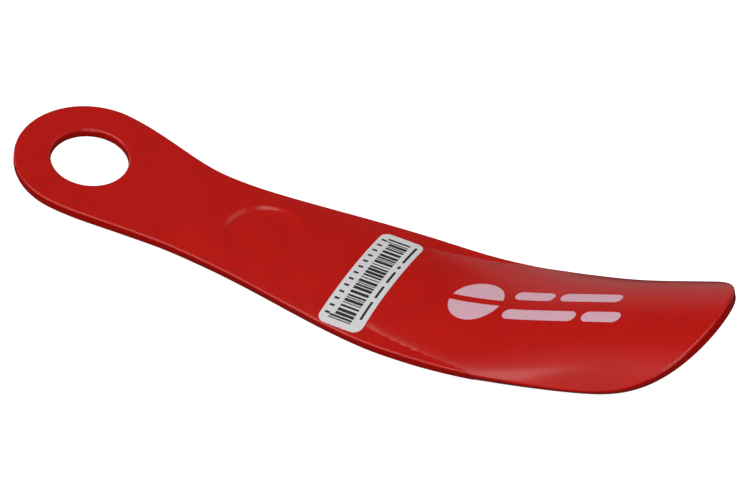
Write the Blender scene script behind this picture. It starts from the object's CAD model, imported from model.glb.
import math

import bmesh
import bpy
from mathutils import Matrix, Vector


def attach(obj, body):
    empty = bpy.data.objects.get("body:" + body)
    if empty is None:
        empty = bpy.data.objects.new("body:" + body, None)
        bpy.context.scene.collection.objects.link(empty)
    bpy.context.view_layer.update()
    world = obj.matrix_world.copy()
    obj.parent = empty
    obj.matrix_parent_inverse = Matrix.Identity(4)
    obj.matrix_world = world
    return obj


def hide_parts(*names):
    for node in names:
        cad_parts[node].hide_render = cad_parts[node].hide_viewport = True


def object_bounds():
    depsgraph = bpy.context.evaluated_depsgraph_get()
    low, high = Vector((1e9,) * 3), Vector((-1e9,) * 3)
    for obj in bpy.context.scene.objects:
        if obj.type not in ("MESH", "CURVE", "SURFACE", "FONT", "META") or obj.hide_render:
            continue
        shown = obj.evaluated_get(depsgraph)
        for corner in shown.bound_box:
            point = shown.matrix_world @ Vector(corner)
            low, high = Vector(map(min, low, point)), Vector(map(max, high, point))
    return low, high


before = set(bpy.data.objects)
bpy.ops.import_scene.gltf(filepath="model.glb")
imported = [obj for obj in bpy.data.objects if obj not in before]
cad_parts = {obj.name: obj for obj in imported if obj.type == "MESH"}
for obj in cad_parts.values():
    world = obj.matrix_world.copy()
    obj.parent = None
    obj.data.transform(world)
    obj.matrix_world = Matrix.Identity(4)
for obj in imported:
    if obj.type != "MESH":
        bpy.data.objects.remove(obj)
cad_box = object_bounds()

# A short moulded shoehorn. Metres, in the CAD model's frame: the origin is the centre of the
# hanging eye, +X runs towards the blade's tip and +Z is up. Sizes below are in millimetres and
# are turned into metres where a mesh is made.

MM = 0.001

# ---- the horn's driving dimensions ----------------------------------------------------------

REACH = 160.0
HEAD_R = 17.5
NECK_HALF = 13.8
NECK_X = 30.0
BLADE_HALF = 19.3
BLADE_X = 88.0
TIP_LEN = 24.5
TIP_SQUARE = 3.1
TIP_FULL = 2.1
HALF_WALL = 1.2
EDGE_R = 0.5
HEAD_SLOPE = math.tan(math.radians(-8.8))
HANDLE_SLOPE = math.tan(math.radians(-1.1))
TIP_SLOPE = math.tan(math.radians(22.2))
FLAT_TO = 12.0
HEAD_BLEND = 22.0
BEND_FROM = 70.5
BEND_TO = 123.0
HANDLE_ARCH = 1 / 90.0
TIP_ARCH = 1 / 26.5
ARCH_BLEND = 28.0
ARCH_CHANGE_FROM = 80.0
ARCH_CHANGE = 60.0
CREASE_FROM = 76.0
CREASE_TO = 114.0
CREASE_STRIP = 5.0
CREASE_ROUND = 2.5
CREASE_DEPTH = 0.45
CREASE_GROWTH = 0.25   # part of the crease's length over which it reaches its depth
CREASE_POWER = 5
EYE_R = 9.0
EYE_EDGE_R = 0.6
THUMB_X = 46.5
THUMB_R = 9.6
THUMB_DEPTH = 1.0
THUMB_LIP = 0.05
THUMB_DEEP = math.radians(128)
THUMB_FADE = 0.38
THUMB_POWER = 6
LABEL_CENTRE = (75.6, -1.8)
LABEL_SIZE = (10.8, 31.8)
LABEL_CORNER = 2.0
PAPER = 0.12
MARK_X = 101.4
MARK_D = 12.6
INK = 0.04


# ---- the wall's shape -----------------------------------------------------------------------

def ease(t):
    """A smooth step from 0 to 1."""
    t = min(max(t, 0.0), 1.0)
    return t * t * (3 - 2 * t)


def ease_sum(t):
    """The integral of ease."""
    if t <= 0:
        return 0.0
    return t - 0.5 if t >= 1 else t ** 3 - t ** 4 / 2


def rise(x):
    """Height of the centre line of the middle surface."""
    head = (HANDLE_SLOPE - HEAD_SLOPE) * HEAD_BLEND * ease_sum((x - FLAT_TO) / HEAD_BLEND)
    bend = BEND_TO - BEND_FROM
    blade = (TIP_SLOPE - HANDLE_SLOPE) * bend * ease_sum((x - BEND_FROM) / bend)
    return HEAD_SLOPE * x + head + blade


def arch(x):
    """Curvature across the horn."""
    handle = ease((x - FLAT_TO) / ARCH_BLEND) * HANDLE_ARCH
    return handle + ease((x - ARCH_CHANGE_FROM) / ARCH_CHANGE) * (TIP_ARCH - HANDLE_ARCH)


def crease(x, y):
    """Depth of the shallow crease along both edges, inside which the blade's dome begins."""
    t = (x - CREASE_FROM) / (CREASE_TO - CREASE_FROM)
    if not 0 < t < 1:
        return 0.0
    strip = CREASE_STRIP * (1 - t)
    line = half_width(x) - strip
    depth = CREASE_DEPTH * ease(t / CREASE_GROWTH) * min(1.0, strip / CREASE_ROUND)
    inside = min(abs(y) / line, 1.0) ** CREASE_POWER
    beside = min(max((half_width(x) - abs(y)) / strip, 0.0), 1.0)
    return depth * inside * beside


def mid_z(x, y):
    """Height of the middle surface."""
    k = arch(x)
    return rise(x) - k * y * y / (1 + math.sqrt(1 - (k * y) ** 2)) - crease(x, y)


def slopes(x, y, step=0.05):
    """Slopes of the middle surface along and across."""
    along = (mid_z(x + step, y) - mid_z(x - step, y)) / (2 * step)
    across = (mid_z(x, y + step) - mid_z(x, y - step)) / (2 * step)
    return along, across


def over(x, y, h):
    """The point at height h over the middle surface."""
    sx, sy = slopes(x, y)
    return Vector((x, y, mid_z(x, y))) + h * Vector((-sx, -sy, 1)).normalized()


def half_width(x):
    """Half width between the head and the rounded end of the blade."""
    if x < NECK_X:
        return HEAD_R + (NECK_HALF - HEAD_R) * ease(x / NECK_X)
    return NECK_HALF + (BLADE_HALF - NECK_HALF) * ease((x - NECK_X) / (BLADE_X - NECK_X))


def half_outline():
    """The +Y half of the outline in plan, from the middle of the head to the middle of the tip."""
    head_steps, side_step, tip_steps = 44, 0.6, 48
    blade_end = REACH - TIP_LEN
    side_steps = round(blade_end / side_step)
    points = []
    for i in range(head_steps):
        a = math.pi * (1 - 0.5 * i / head_steps)
        points.append((HEAD_R * math.cos(a), HEAD_R * math.sin(a)))
    for i in range(side_steps + 1):
        x = blade_end * i / side_steps
        points.append((x, half_width(x)))
    for i in range(1, tip_steps + 1):
        a = 0.5 * math.pi * i / tip_steps
        along = math.sin(a) ** (2 / TIP_SQUARE)
        side = max(math.cos(a), 0.0) ** (2 / TIP_FULL)
        points.append((blade_end + TIP_LEN * along, BLADE_HALF * side if i < tip_steps else 0.0))
    return points


def outward(points, i):
    """Outward direction of the half outline at one of its points, level in plan."""
    if i == 0:
        return (-1.0, 0.0)
    if i == len(points) - 1:
        return (1.0, 0.0)
    dx = points[i + 1][0] - points[i - 1][0]
    dy = points[i + 1][1] - points[i - 1][1]
    size = math.hypot(dx, dy)
    return (-dy / size, dx / size)


def thumb(x, y):
    """Depth of the thumb rest: a dish with a softened lip, which fades towards the blade."""
    u, v = (x - THUMB_X) / THUMB_R, y / THUMB_R
    d = math.hypot(u, v)
    if d >= 1 + THUMB_LIP:
        return 0.0
    inner = 1 - THUMB_LIP
    steep = THUMB_POWER * inner ** (THUMB_POWER - 1)
    if d <= inner:
        dish = inner ** THUMB_POWER + steep * THUMB_LIP - d ** THUMB_POWER
    else:
        dish = steep * (1 + THUMB_LIP - d) ** 2 / (4 * THUMB_LIP)
    side = 1 - THUMB_FADE + THUMB_FADE * (u * math.cos(THUMB_DEEP) + v * math.sin(THUMB_DEEP))
    return THUMB_DEPTH * side * dish


# ---- mesh helpers ---------------------------------------------------------------------------

SHARP_ANGLE = math.radians(40)


def new_piece(name, bm, material, smooth=True):
    """Makes an object from a bmesh in millimetres, riding on the one body."""
    bmesh.ops.scale(bm, vec=(MM, MM, MM), verts=bm.verts)
    bmesh.ops.recalc_face_normals(bm, faces=bm.faces)
    for edge in bm.edges:
        edge.smooth = edge.calc_face_angle(0.0) < SHARP_ANGLE
    mesh = bpy.data.meshes.new(name)
    bm.to_mesh(mesh)
    bm.free()
    for polygon in mesh.polygons:
        polygon.use_smooth = smooth
    piece = bpy.data.objects.new(name, mesh)
    bpy.context.scene.collection.objects.link(piece)
    mesh.materials.append(material)
    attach(piece, "root")
    return piece


def grid_faces(bm, rows, closed=False):
    """Joins rows of vertices into quads. Equal neighbours are left out."""
    count = len(rows[0])
    for lower, upper in zip(rows, rows[1:]):
        for j in range(count if closed else count - 1):
            k = (j + 1) % count
            corners = []
            for v in (lower[j], lower[k], upper[k], upper[j]):
                if v not in corners:
                    corners.append(v)
            if len(corners) > 2:
                bm.faces.new(corners)


# ---- body -----------------------------------------------------------------------------------

JOIN_X = 18.0          # the ring of faces round the eye meets the long grid here
ACROSS = 96            # faces across the horn
HEAD_RINGS = 16        # faces between the eye's rim and the outline
RIM_STEPS = 6          # faces in a quarter round
MERGE_DISTANCE = 0.002


def edge_places():
    """Angle and side of each point round the wall's edge, from the top face to the underside."""
    turn = [90.0 * s / RIM_STEPS for s in range(RIM_STEPS + 1)]
    return [(90 - a, 1) for a in turn] + [(-a, -1) for a in turn]


def edge_point(x, y, out, angle, side):
    """A point of the rounded edge. x, y lie inside the outline by the rounding's radius."""
    sx, sy = slopes(x, y)
    along = Vector((out[0], out[1], out[0] * sx + out[1] * sy)).normalized()
    a = math.radians(angle)
    lift = (HALF_WALL - EDGE_R) * side + EDGE_R * math.sin(a)
    return over(x, y, lift) + EDGE_R * math.cos(a) * along


def face_point(x, y, side):
    """A point of the top face (side 1) or of the underside (side -1)."""
    sunk = thumb(x, y) if side > 0 else 0.0
    return over(x, y, HALF_WALL * side - sunk)


def inset_outline():
    """The half outline moved in by the edge's radius, with each point's outward direction."""
    points = half_outline()
    inset = []
    for i, (x, y) in enumerate(points):
        out = outward(points, i)
        inset.append((x - EDGE_R * out[0], max(0.0, y - EDGE_R * out[1]), out))
    return inset


def add_long_faces(bm, inset):
    """Top and underside of the handle and the blade."""
    for side in (1, -1):
        rows = []
        for x, y, _out in inset:
            places = [y * (1 - 2 * s / ACROSS) for s in range(ACROSS + 1)]
            rows.append([bm.verts.new(face_point(x, place, side)) for place in places])
        grid_faces(bm, rows)


def head_loop(inset):
    """The head's outline, closed by a straight line across the handle where inset ends."""
    loop = [(x, y) for x, y, _out in inset]
    join_x, join_y = loop[-1]
    loop += [(join_x, join_y * (1 - 2 * s / ACROSS)) for s in range(1, ACROSS)]
    return loop + [(x, -y) for x, y in reversed(loop[1:len(inset)])]


def add_head_faces(bm, loop):
    """Top and underside of the head: rings that turn from the eye's round rim into the loop."""
    rim_r = EYE_R + EYE_EDGE_R
    for side in (1, -1):
        rows = []
        for r in range(HEAD_RINGS + 1):
            t = r / HEAD_RINGS
            row = []
            for x, y in loop:
                a = math.atan2(y, x)
                inner = (rim_r * math.cos(a), rim_r * math.sin(a))
                px = inner[0] + (x - inner[0]) * t
                py = inner[1] + (y - inner[1]) * t
                row.append(bm.verts.new(face_point(px, py, side)))
            rows.append(row)
        grid_faces(bm, rows, closed=True)


def add_eye(bm, loop):
    """The eye's wall and its two rims."""
    rows = []
    for angle, side in edge_places():
        a = math.radians(angle)
        lift = (HALF_WALL - EYE_EDGE_R) * side + EYE_EDGE_R * math.sin(a)
        r = EYE_R + EYE_EDGE_R * (1 - math.cos(a))
        row = []
        for x, y in loop:
            turn = math.atan2(y, x)
            row.append(bm.verts.new(over(r * math.cos(turn), r * math.sin(turn), lift)))
        rows.append(row)
    grid_faces(bm, rows, closed=True)


def add_edge(bm, inset):
    """The outer edge, all the way round."""
    rows = []
    for angle, side in edge_places():
        half = [bm.verts.new(edge_point(x, y, out, angle, side)) for x, y, out in inset]
        other = [
            bm.verts.new(edge_point(x, -y, (out[0], -out[1]), angle, side))
            for x, y, out in inset[-2:0:-1]
        ]
        rows.append(half + other)
    grid_faces(bm, rows, closed=True)


def build_body(material):
    """The one-piece moulding, with the eye as a true opening between rounded rims."""
    inset = inset_outline()
    join = min(range(len(inset)), key=lambda i: abs(inset[i][0] - JOIN_X))
    loop = head_loop(inset[:join + 1])
    bm = bmesh.new()
    add_long_faces(bm, inset[join:])
    add_head_faces(bm, loop)
    add_eye(bm, loop)
    add_edge(bm, inset)
    bmesh.ops.remove_doubles(bm, verts=bm.verts, dist=MERGE_DISTANCE)
    piece = new_piece("moulded_horn", bm, material)
    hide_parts("horn_body")
    return piece


# ---- paper and ink --------------------------------------------------------------------------

FIRST_TURN = 3.0       # degrees: round corners and discs start here, so no row has zero width
SMALL_CORNER = 0.4     # corners up to this radius need fewer rows


def patch_rows(size, corner, rows):
    """A rectangle with rounded corners as rows from +Y to -Y: (half width along X, place along Y)."""
    r = min(corner, min(size) / 2 - 0.001)
    steps = 10 if r > SMALL_CORNER else 3
    far = size[1] / 2 - r
    upper = []
    for s in range(steps + 1):
        a = math.radians(FIRST_TURN + (90 - FIRST_TURN) * s / steps)
        upper.append((size[0] / 2 - r + r * math.sin(a), far + r * math.cos(a)))
    middle = [(size[0] / 2, far * (1 - 2 * s / rows)) for s in range(1, rows)]
    lower = [(half, -v) for half, v in reversed(upper)]
    return upper + middle + lower


def disc_rows(r, gap, side, steps=40):
    """The part of a disc beyond a straight edge at a distance gap from its middle, as rows."""
    first, last = math.asin(gap / r), math.radians(90 - FIRST_TURN)
    rows = []
    for s in range(steps + 1):
        a = first + (last - first) * s / steps
        rows.append((r * math.cos(a), side * r * math.sin(a)))
    return rows[::-1] if side > 0 else rows


def add_strip(bm, centre, rows, lift, thick, cols=8):
    """Adds a thin closed solid that follows the top face, from its rows."""
    base = HALF_WALL + lift
    loops = []
    for half, v in rows:
        plan = [(centre[0] + half * (1 - 2 * c / cols), centre[1] + v) for c in range(cols + 1)]
        top = [bm.verts.new(over(x, y, base + thick)) for x, y in plan]
        bottom = [bm.verts.new(over(x, y, base)) for x, y in reversed(plan)]
        loops.append(top + bottom)
    grid_faces(bm, loops, closed=True)
    bm.faces.new(loops[0])
    bm.faces.new(list(reversed(loops[-1])))


def add_patch(bm, centre, size, corner, lift, thick, cols=8, rows=24):
    """Adds a thin patch with rounded corners that follows the top face."""
    add_strip(bm, centre, patch_rows(size, corner, rows), lift, thick, cols)


def build_label(material):
    """The paper label, laid on the top face."""
    bm = bmesh.new()
    add_patch(bm, LABEL_CENTRE, LABEL_SIZE, LABEL_CORNER, 0, PAPER, cols=10, rows=40)
    piece = new_piece("paper_label", bm, material)
    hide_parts("barcode_label")
    return piece


BAR_COUNT = 30
BAR_LENGTH = 4.6
BAR_X = 0.1
BAR_MARGIN = 1.7
GUARD_LENGTH = 5.6
DASH_COUNT = 13
DASH_X = -3.9
DASH_SIZE = (1.2, 0.6)
LINE_X = 3.9
LINE_W = 0.6
LINE_GAP = 1.3
LINE_LENGTHS = (6.5, 1.0, 4.0, 4.0, 5.5)
PRINT_CORNER = 0.02
PRINT_THICK = INK * 0.5


def bar_units(i):
    """Width of a bar in units, in a made-up order."""
    return 1 + (i * i * 5 + 3 * i) % 7 % 3


def gap_units(i):
    """Width of the gap after a bar in units, in a made-up order."""
    return 1 + (i * 11 + 2 * i * i) % 5 % 3


def build_label_print(material):
    """Bars in a made-up order, which stand for no number, and plain dashes on both sides."""
    printed_l = LABEL_SIZE[1] - 2 * BAR_MARGIN
    label_x, label_y = LABEL_CENTRE
    bm = bmesh.new()

    def block(x, y, size, rows=2):
        add_patch(bm, (x, y), size, PRINT_CORNER, PAPER, PRINT_THICK, 2, rows)

    total = sum(bar_units(i) + gap_units(i) for i in range(BAR_COUNT)) - gap_units(BAR_COUNT - 1)
    unit = printed_l / total
    start = label_y - printed_l / 2
    for i in range(BAR_COUNT):
        width = bar_units(i) * unit
        length = GUARD_LENGTH if i < 2 or i > BAR_COUNT - 3 else BAR_LENGTH
        middle = label_x + BAR_X - (length - BAR_LENGTH) / 2
        block(middle, start + width / 2, (length, width))
        start += width + gap_units(i) * unit
    for i in range(DASH_COUNT):
        place = (i - (DASH_COUNT - 1) / 2) * printed_l / DASH_COUNT
        block(label_x + DASH_X, label_y + place, DASH_SIZE)
    start = label_y + printed_l / 2
    for length in LINE_LENGTHS:
        block(label_x + LINE_X, start - length / 2, (LINE_W, length), 8)
        start -= length + LINE_GAP
    piece = new_piece("label_bars", bm, material, smooth=False)
    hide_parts("label_print")
    return piece


MARK_SPACE = 2.0
DISC_GAP = 0.9
MARK_BAR_H = 3.0
MARK_BAR_GAP = 1.5
MARK_ROWS = ((3.2, 9.5, 14.5), (-3.2, 17.5, 9.0))     # place across, lengths of the two bars
MARK_COLS = 16


def build_mark(material):
    """A plain disc in two parts, and two rows of plain rounded bars beside it."""
    bars_from = MARK_X + MARK_D / 2 + MARK_SPACE
    bm = bmesh.new()
    for side in (-1, 1):
        add_strip(bm, (MARK_X, 0), disc_rows(MARK_D / 2, DISC_GAP, side), 0, INK, MARK_COLS)
    for y, *lengths in MARK_ROWS:
        start = bars_from
        for length in lengths:
            size = (length, MARK_BAR_H)
            add_patch(bm, (start + length / 2, y), size, MARK_BAR_H / 2, 0, INK, MARK_COLS, 4)
            start += length + MARK_BAR_GAP
    piece = new_piece("pad_print", bm, material)
    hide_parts("printed_mark")
    return piece


# ---- materials ------------------------------------------------------------------------------

def new_material(name):
    material = bpy.data.materials.new(name)
    material.use_nodes = True
    return material, material.node_tree.nodes, material.node_tree.links


def noise(nodes, links, coords, scale, detail=3.0, roughness=0.5):
    node = nodes.new("ShaderNodeTexNoise")
    node.inputs["Scale"].default_value = scale
    node.inputs["Detail"].default_value = detail
    node.inputs["Roughness"].default_value = roughness
    links.new(coords, node.inputs["Vector"])
    return node.outputs["Fac"]


def ramp(nodes, links, value, low, high, start=0.3, end=0.7):
    """Maps a grey value to a colour between low and high."""
    node = nodes.new("ShaderNodeValToRGB")
    node.color_ramp.elements[0].position = start
    node.color_ramp.elements[1].position = end
    node.color_ramp.elements[0].color = (*low, 1)
    node.color_ramp.elements[1].color = (*high, 1)
    links.new(value, node.inputs["Fac"])
    return node.outputs["Color"]


def remap(nodes, links, value, low, high):
    """Maps a grey value from 0..1 to low..high."""
    node = nodes.new("ShaderNodeMapRange")
    node.inputs["To Min"].default_value = low
    node.inputs["To Max"].default_value = high
    links.new(value, node.inputs["Value"])
    return node.outputs["Result"]


def bump(nodes, links, shader, height, strength, distance):
    node = nodes.new("ShaderNodeBump")
    node.inputs["Strength"].default_value = strength
    node.inputs["Distance"].default_value = distance
    links.new(height, node.inputs["Height"])
    links.new(node.outputs["Normal"], shader.inputs["Normal"])


RED_COLOURS = ((0.59, 0.0042, 0.0008), (0.65, 0.0054, 0.0012))
PAPER_COLOURS = ((0.80, 0.79, 0.80), (0.90, 0.89, 0.90))
BLACK_COLOURS = ((0.004, 0.004, 0.004), (0.02, 0.02, 0.02))
PINK_COLOURS = ((0.78, 0.44, 0.53), (0.92, 0.56, 0.66))
PLASTIC_IOR = 1.5
PEEL_HEIGHT = 0.00006
GRAIN_HEIGHT = 0.00003


def red_plastic():
    """Satin-gloss moulded plastic: faint cloudiness in the colour, fine orange peel, light scuffs."""
    material, nodes, links = new_material("red_moulded_plastic")
    shader = nodes["Principled BSDF"]
    coords = nodes.new("ShaderNodeTexCoord").outputs["Object"]
    cloud = noise(nodes, links, coords, 130.0, 4.0)
    links.new(ramp(nodes, links, cloud, *RED_COLOURS), shader.inputs["Base Color"])
    scuff = noise(nodes, links, coords, 900.0, 6.0, 0.65)
    links.new(remap(nodes, links, scuff, 0.12, 0.18), shader.inputs["Roughness"])
    peel = noise(nodes, links, coords, 1400.0, 3.0)
    bump(nodes, links, shader, peel, 0.035, PEEL_HEIGHT)
    shader.inputs["IOR"].default_value = PLASTIC_IOR
    return material


def grained(name, scale, detail, colours, roughness, relief=0.0):
    """A matt material whose colour, roughness and relief follow one fine grain."""
    material, nodes, links = new_material(name)
    shader = nodes["Principled BSDF"]
    coords = nodes.new("ShaderNodeTexCoord").outputs["Object"]
    grain = noise(nodes, links, coords, scale, detail, 0.7)
    links.new(ramp(nodes, links, grain, *colours), shader.inputs["Base Color"])
    links.new(remap(nodes, links, grain, *roughness), shader.inputs["Roughness"])
    if relief > 0:
        bump(nodes, links, shader, grain, relief, GRAIN_HEIGHT)
    return material


def label_paper():
    """White coated paper with a faint fibre."""
    return grained("white_label_paper", 2600.0, 5.0, PAPER_COLOURS, (0.5, 0.7), relief=0.2)


def black_ink():
    """Matt black label print."""
    return grained("black_label_ink", 3500.0, 4.0, BLACK_COLOURS, (0.45, 0.65))


def pink_ink():
    """Pale pad-printing ink, slightly uneven."""
    return grained("pale_pink_ink", 2200.0, 5.0, PINK_COLOURS, (0.4, 0.6), relief=0.15)


# ---- stage, light and camera ----------------------------------------------------------------

FLOOR_HALF = 6.0
FLOOR_GAP = 0.0002
FLOOR_GREY = 0.5
FLOOR_GLOW = 0.95


def build_floor(box):
    """A plain white floor under the lowest point. It shows, and sheds no light on the horn."""
    material, nodes, _links = new_material("white_floor")
    shader = nodes["Principled BSDF"]
    shader.inputs["Base Color"].default_value = (FLOOR_GREY, FLOOR_GREY, FLOOR_GREY, 1)
    shader.inputs["Roughness"].default_value = 0.9
    shader.inputs["Specular IOR Level"].default_value = 0.0
    shader.inputs["Emission Color"].default_value = (1, 1, 1, 1)
    shader.inputs["Emission Strength"].default_value = FLOOR_GLOW
    bm = bmesh.new()
    bmesh.ops.create_grid(bm, x_segments=2, y_segments=2, size=FLOOR_HALF)
    mesh = bpy.data.meshes.new("floor")
    bm.to_mesh(mesh)
    bm.free()
    floor = bpy.data.objects.new("floor", mesh)
    floor.location = (0, 0, box[0][2] - FLOOR_GAP)
    floor.visible_diffuse = False
    floor.visible_glossy = False
    floor.visible_shadow = False
    bpy.context.scene.collection.objects.link(floor)
    mesh.materials.append(material)


def area_light(name, place, target, size, radiance):
    """A rectangular softbox of even radiance."""
    light = bpy.data.lights.new(name, "AREA")
    light.shape = "RECTANGLE"
    light.size, light.size_y = size
    light.energy = radiance * math.pi * size[0] * size[1]
    lamp = bpy.data.objects.new(name, light)
    lamp.location = place
    lamp.rotation_euler = (Vector(target) - Vector(place)).to_track_quat("-Z", "Y").to_euler()
    bpy.context.scene.collection.objects.link(lamp)


def grey_ramp(nodes, links, value, stops):
    """A grey value for each height: stops are pairs of height (-1 to 1) and grey."""
    height = nodes.new("ShaderNodeMapRange")
    height.inputs["From Min"].default_value = -1.0
    links.new(value, height.inputs["Value"])
    node = nodes.new("ShaderNodeValToRGB")
    elements = node.color_ramp.elements
    while len(elements) < len(stops):
        elements.new(0.5)
    for element, (z, grey) in zip(elements, stops):
        element.position = (z + 1) / 2
        element.color = (grey, grey, grey, 1)
    links.new(height.outputs["Result"], node.inputs["Fac"])
    return node.outputs["Color"]


BACKDROP_DIRECTION = Vector((-0.42, 0.9, 0.0))
BACKDROP_COSINES = (0.45, 0.8)
GLOW_DIRECTION = Vector((-0.74, -0.42, 0.5))
GLOW_COSINES = (0.8, 0.98)
GLOW_RADIANCE = 0.36
# grey of the room at each height from -1 (straight down) to 1 (straight up)
FAR_SIDE = (
    (-0.55, 0.0), (-0.42, 0.12), (-0.25, 0.23), (0.17, 0.26), (0.34, 0.13), (0.55, 0.1), (0.7, 0.14),
)
NEAR_SIDE = ((-0.1, 0.04), (0.1, 0.08), (0.5, 0.15), (0.8, 0.15))


def soft_cone(nodes, links, direction, aim, low, high):
    """Grows softly from 0 to 1 as the direction's cosine with aim goes from low to high."""
    cosine = nodes.new("ShaderNodeVectorMath")
    cosine.operation = "DOT_PRODUCT"
    cosine.inputs[1].default_value = aim.normalized()
    links.new(direction, cosine.inputs[0])
    step = nodes.new("ShaderNodeMapRange")
    step.interpolation_type = "SMOOTHSTEP"
    step.inputs["From Min"].default_value = low
    step.inputs["From Max"].default_value = high
    links.new(cosine.outputs["Value"], step.inputs["Value"])
    return step.outputs["Result"]


def build_world():
    """A dim room: pale behind the table, a soft glow on the head's side, dark by the camera."""
    world = bpy.data.worlds.new("studio")
    world.use_nodes = True
    nodes, links = world.node_tree.nodes, world.node_tree.links
    direction = nodes.new("ShaderNodeTexCoord").outputs["Generated"]
    split = nodes.new("ShaderNodeSeparateXYZ")
    links.new(direction, split.inputs["Vector"])
    room = nodes.new("ShaderNodeMix")
    room.data_type = "FLOAT"
    backdrop = soft_cone(nodes, links, direction, BACKDROP_DIRECTION, *BACKDROP_COSINES)
    links.new(backdrop, room.inputs[0])
    links.new(grey_ramp(nodes, links, split.outputs["Z"], NEAR_SIDE), room.inputs[2])
    links.new(grey_ramp(nodes, links, split.outputs["Z"], FAR_SIDE), room.inputs[3])
    glow = nodes.new("ShaderNodeMath")
    glow.operation = "MULTIPLY_ADD"
    glow.inputs[1].default_value = GLOW_RADIANCE
    spread = soft_cone(nodes, links, direction, GLOW_DIRECTION, *GLOW_COSINES)
    links.new(spread, glow.inputs[0])
    links.new(room.outputs[0], glow.inputs[2])
    links.new(glow.outputs[0], nodes["Background"].inputs["Color"])
    bpy.context.scene.world = world


KEY_DIRECTION = Vector((-0.20, -0.22, 0.96))
KEY_SIZE = (0.95, 1.15)
KEY_RADIANCE = 1.82
FILL_DIRECTION = Vector((0.5, -0.85, 0.15))
FILL_SIZE = (0.8, 0.4)
FILL_RADIANCE = 2.6
RIM_DIRECTION = Vector((0.16, 0.62, 0.77))
RIM_SIZE = (0.42, 0.42)
RIM_RADIANCE = 0.65
BACK_DIRECTION = Vector((-0.95, 0.2, 0.2))
BACK_SIZE = (0.5, 0.3)
BACK_RADIANCE = 1.8
LIGHT_DISTANCE = 1.0


def build_light(middle):
    """A large softbox overhead, a small one for the thumb rest's rim, and two low fills."""
    build_world()
    for name, direction, size, radiance in (
        ("key_softbox", KEY_DIRECTION, KEY_SIZE, KEY_RADIANCE),
        ("fill_softbox", FILL_DIRECTION, FILL_SIZE, FILL_RADIANCE),
        ("rim_softbox", RIM_DIRECTION, RIM_SIZE, RIM_RADIANCE),
        ("back_softbox", BACK_DIRECTION, BACK_SIZE, BACK_RADIANCE),
    ):
        area_light(name, middle + LIGHT_DISTANCE * direction.normalized(), middle, size, radiance)
    # plain display colours, so that a white floor comes out white
    bpy.context.scene.view_settings.view_transform = "Standard"


CAMERA_AZIMUTH = 28.0
CAMERA_ELEVATION = 42.2
CAMERA_DISTANCE = 0.701
CAMERA_LENS = 150.0
SENSOR_WIDTH = 36.0
CAMERA_SHIFT = (-0.0493, 0.0531)
LOOK_AT_X = 85.0


def build_camera(target):
    """The camera, in front of the blade's near side and looking down."""
    az, el = math.radians(CAMERA_AZIMUTH), math.radians(CAMERA_ELEVATION)
    towards = Vector((math.sin(az) * math.cos(el), -math.cos(az) * math.cos(el), math.sin(el)))
    data = bpy.data.cameras.new("camera")
    data.sensor_width = SENSOR_WIDTH
    data.lens = CAMERA_LENS
    data.shift_x, data.shift_y = CAMERA_SHIFT
    camera = bpy.data.objects.new("camera", data)
    camera.location = target + CAMERA_DISTANCE * towards
    camera.rotation_euler = (-towards).to_track_quat("-Z", "Y").to_euler()
    bpy.context.scene.collection.objects.link(camera)
    bpy.context.scene.camera = camera


# ---- everything -----------------------------------------------------------------------------

look_at = Vector((LOOK_AT_X, 0, rise(LOOK_AT_X))) * MM
build_camera(look_at)
build_floor(cad_box)
build_light(look_at)
build_body(red_plastic())
build_label(label_paper())
build_label_print(black_ink())
build_mark(pink_ink())
